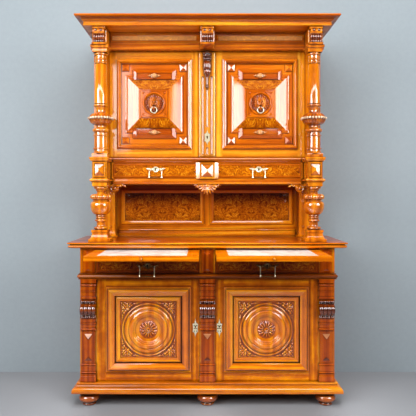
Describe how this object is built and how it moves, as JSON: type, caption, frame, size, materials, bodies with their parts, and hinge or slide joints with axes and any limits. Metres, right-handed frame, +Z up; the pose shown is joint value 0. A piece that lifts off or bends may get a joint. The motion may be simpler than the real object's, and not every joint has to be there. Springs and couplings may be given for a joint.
{
  "type": "buffet cabinet",
  "caption": "Two-stage buffet cabinet: cupboard with drawers and pull-out shelves below, columned cupboard above an open niche.",
  "frame": {"origin": "on the floor, under the middle of the outline at rest with the shelves pulled out", "axes": "+Z up, -Y towards the front with the doors, +X to the right seen from the front"},
  "size_m": [1.7, 0.887, 2.373],
  "materials": {
    "walnut": "french polished walnut",
    "inner_wood": "plain oiled wood inside",
    "burl": "polished burl veneer",
    "dark_walnut": "polished dark walnut",
    "brass": "aged, softly polished",
    "marble": "honed white marble"
  },
  "bodies": {
    "cabinet": {"bun_feet": "dark_walnut", "plinth": "walnut", "lower_case": "walnut", "lower_dividers": "inner_wood", "lower_face_frame": "walnut", "string_course": "walnut", "pilasters": "walnut", "volute_brackets": "walnut", "worktop": "walnut", "inner_shelves": "inner_wood", "lower_columns": "walnut", "upper_columns": "walnut", "column_blocks": "walnut", "rear_pilasters": "walnut", "niche_back": "walnut", "burl_panels": "burl", "drawer_case": "inner_wood", "drawer_frame": "walnut", "carved_apron": "walnut", "upper_case": "walnut", "frieze": "walnut", "corbels": "walnut", "cornice": "walnut"},
    "upper_left_door": {"upper_door_left": "walnut", "upper_moulding_left": "walnut", "upper_panel_left": "walnut", "mask_left": "dark_walnut", "upper_fittings_left": "brass", "meeting_strip": "walnut"},
    "mask_left_ring": {"ring_left": "brass"},
    "lower_left_door": {"lower_door_left": "walnut", "lower_moulding_left": "walnut", "lower_panel_left": "walnut", "lower_fittings_left": "brass"},
    "upper_left_drawer": {"upper_drawer_left": "walnut", "upper_handle_left": "brass"},
    "upper_left_bail": {"upper_bail_left": "brass"},
    "lower_left_drawer": {"lower_drawer_left": "walnut", "lower_handle_left": "brass"},
    "lower_left_bail": {"lower_bail_left": "brass"},
    "left_pull_out": {"pull_out_left": "walnut", "marble_left": "marble"},
    "upper_right_door": {"upper_door_right": "walnut", "upper_moulding_right": "walnut", "upper_panel_right": "walnut", "mask_right": "dark_walnut", "upper_fittings_right": "brass"},
    "mask_right_ring": {"ring_right": "brass"},
    "lower_right_door": {"lower_door_right": "walnut", "lower_moulding_right": "walnut", "lower_panel_right": "walnut", "lower_fittings_right": "brass"},
    "upper_right_drawer": {"upper_drawer_right": "walnut", "upper_handle_right": "brass"},
    "upper_right_bail": {"upper_bail_right": "brass"},
    "lower_right_drawer": {"lower_drawer_right": "walnut", "lower_handle_right": "brass"},
    "lower_right_bail": {"lower_bail_right": "brass"},
    "right_pull_out": {"pull_out_right": "walnut", "marble_right": "marble"}
  },
  "joints": [
    {"name": "upper_left_door_hinge", "type": "hinge", "parent": "cabinet", "child": "upper_left_door", "pos_m": [-0.6005, 0.1015, 1.866], "axis": [0, 0, -1], "range_deg": [0, 72]},
    {"name": "left_ring_swing", "type": "hinge", "parent": "upper_left_door", "child": "mask_left_ring", "pos_m": [-0.34, 0.0565, 1.844], "axis": [-1, 0, 0], "range_deg": [0, 80]},
    {"name": "lower_left_door_hinge", "type": "hinge", "parent": "cabinet", "child": "lower_left_door", "pos_m": [-0.6505, -0.0635, 0.4556], "axis": [0, 0, -1], "range_deg": [0, 88]},
    {"name": "upper_left_drawer_slide", "type": "slide", "parent": "cabinet", "child": "upper_left_drawer", "axis": [0, -1, 0], "range_m": [0, 0.24]},
    {"name": "upper_left_bail_swing", "type": "hinge", "parent": "upper_left_drawer", "child": "upper_left_bail", "pos_m": [-0.3305, 0.066, 1.4475], "axis": [-1, 0, 0], "range_deg": [0, 85]},
    {"name": "lower_left_drawer_slide", "type": "slide", "parent": "cabinet", "child": "lower_left_drawer", "axis": [0, -1, 0], "range_m": [0, 0.36]},
    {"name": "lower_left_bail_swing", "type": "hinge", "parent": "lower_left_drawer", "child": "lower_left_bail", "pos_m": [-0.3665, -0.107, 0.8497], "axis": [-1, 0, 0], "range_deg": [0, 85]},
    {"name": "left_pull_out_slide", "type": "slide", "parent": "cabinet", "child": "left_pull_out", "axis": [0, -1, 0], "range_m": [-0.35, 0.03]},
    {"name": "upper_right_door_hinge", "type": "hinge", "parent": "cabinet", "child": "upper_right_door", "pos_m": [0.6005, 0.1015, 1.866], "axis": [0, 0, 1], "range_deg": [0, 72]},
    {"name": "right_ring_swing", "type": "hinge", "parent": "upper_right_door", "child": "mask_right_ring", "pos_m": [0.34, 0.0565, 1.844], "axis": [-1, 0, 0], "range_deg": [0, 80]},
    {"name": "lower_right_door_hinge", "type": "hinge", "parent": "cabinet", "child": "lower_right_door", "pos_m": [0.6505, -0.0635, 0.4556], "axis": [0, 0, 1], "range_deg": [0, 88]},
    {"name": "upper_right_drawer_slide", "type": "slide", "parent": "cabinet", "child": "upper_right_drawer", "axis": [0, -1, 0], "range_m": [0, 0.24]},
    {"name": "upper_right_bail_swing", "type": "hinge", "parent": "upper_right_drawer", "child": "upper_right_bail", "pos_m": [0.3305, 0.066, 1.4475], "axis": [-1, 0, 0], "range_deg": [0, 85]},
    {"name": "lower_right_drawer_slide", "type": "slide", "parent": "cabinet", "child": "lower_right_drawer", "axis": [0, -1, 0], "range_m": [0, 0.36]},
    {"name": "lower_right_bail_swing", "type": "hinge", "parent": "lower_right_drawer", "child": "lower_right_bail", "pos_m": [0.3665, -0.107, 0.8497], "axis": [-1, 0, 0], "range_deg": [0, 85]},
    {"name": "right_pull_out_slide", "type": "slide", "parent": "cabinet", "child": "right_pull_out", "axis": [0, -1, 0], "range_m": [-0.35, 0.03]}
  ]
}
